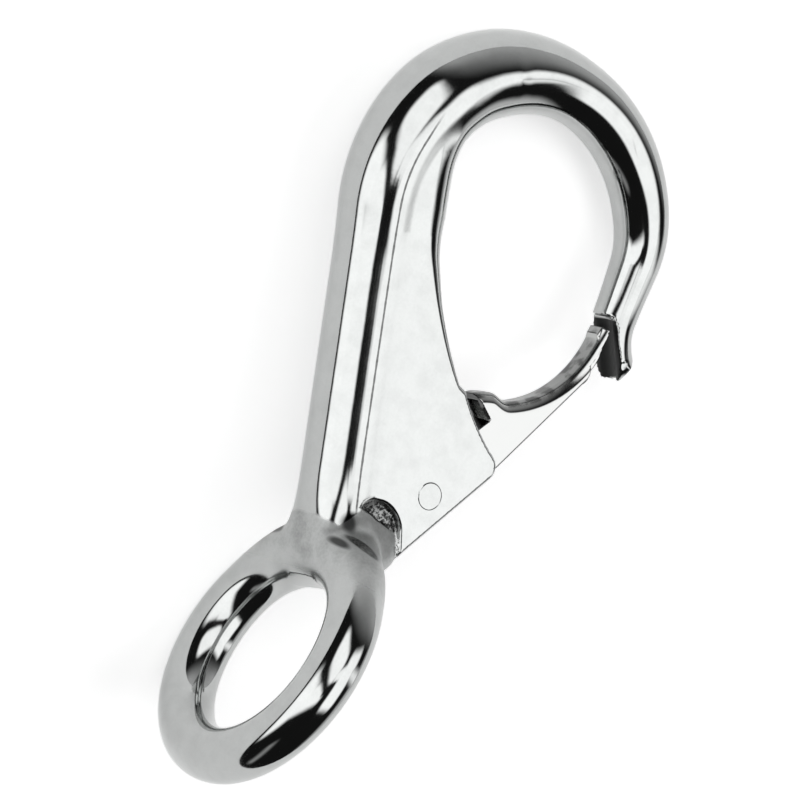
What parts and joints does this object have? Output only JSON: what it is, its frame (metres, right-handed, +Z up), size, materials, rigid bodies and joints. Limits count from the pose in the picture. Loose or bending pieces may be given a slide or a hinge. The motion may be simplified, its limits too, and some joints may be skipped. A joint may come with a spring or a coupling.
{
  "type": "snap hook",
  "caption": "Cast snap hook with a fixed eye square to its bow and a spring-loaded sheet-metal gate that folds inwards, for rope, webbing or chain.",
  "frame": {"origin": "middle of the bounding box's base, on the surface that the hook lies on", "axes": "+Y from the eye to the bow, +X from the spine towards the nose and gate, +Z up off the surface"},
  "size_m": [0.048, 0.0984, 0.0348],
  "materials": {
    "hook": "bright plated, polished over a casting, with rough-cast skin left in the hollows",
    "gate": "bright plated pressed sheet, slightly brushed",
    "pin": "bright plated, ends ground flush and polished with the casting",
    "spring": "plain spring wire"
  },
  "bodies": {
    "hook": {"hook_body": "hook", "pivot_pin": "pin"},
    "gate": {"gate": "gate", "gate_spring": "spring"}
  },
  "joints": [
    {"name": "gate_pivot", "type": "hinge", "parent": "hook", "child": "gate", "pos_m": [0.00642, -0.00622, 0.01267], "axis": [0.054, 0.1693, 0.9841], "range_deg": [0, 32], "stiffness_Nm_per_rad": 0.04, "springref_deg": -68.75, "deforming": ["gate_spring"]}
  ]
}
